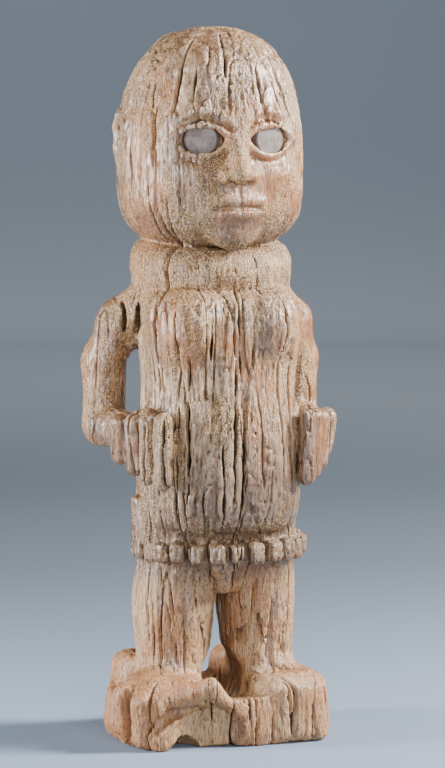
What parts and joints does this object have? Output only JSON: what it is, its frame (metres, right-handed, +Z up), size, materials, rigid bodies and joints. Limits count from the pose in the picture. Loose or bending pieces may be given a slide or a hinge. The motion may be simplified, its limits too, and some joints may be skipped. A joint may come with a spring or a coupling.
{
  "type": "carved wooden ancestor figure",
  "caption": "Free-standing figure carved from one log: disc eyes, hands at the belly, boss belt, short legs on a plinth.",
  "frame": {"origin": "middle of the underside of the whole figure's box, on the surface that it stands on", "axes": "+Z up along the log, the figure faces -Y, and its own left hand is at +X"},
  "size_m": [0.1042, 0.0817, 0.3],
  "materials": {
    "weathered_wood": "dry, deeply weathered, cracked along the grain",
    "eye_inlay": "smooth worn hard disc, faintly polished",
    "bedding_gum": "dark dull plant gum"
  },
  "bodies": {
    "root": {"carved_log": "weathered_wood", "right_eye_disc": "eye_inlay", "left_eye_disc": "eye_inlay", "right_eye_gum": "bedding_gum", "left_eye_gum": "bedding_gum"}
  },
  "joints": []
}
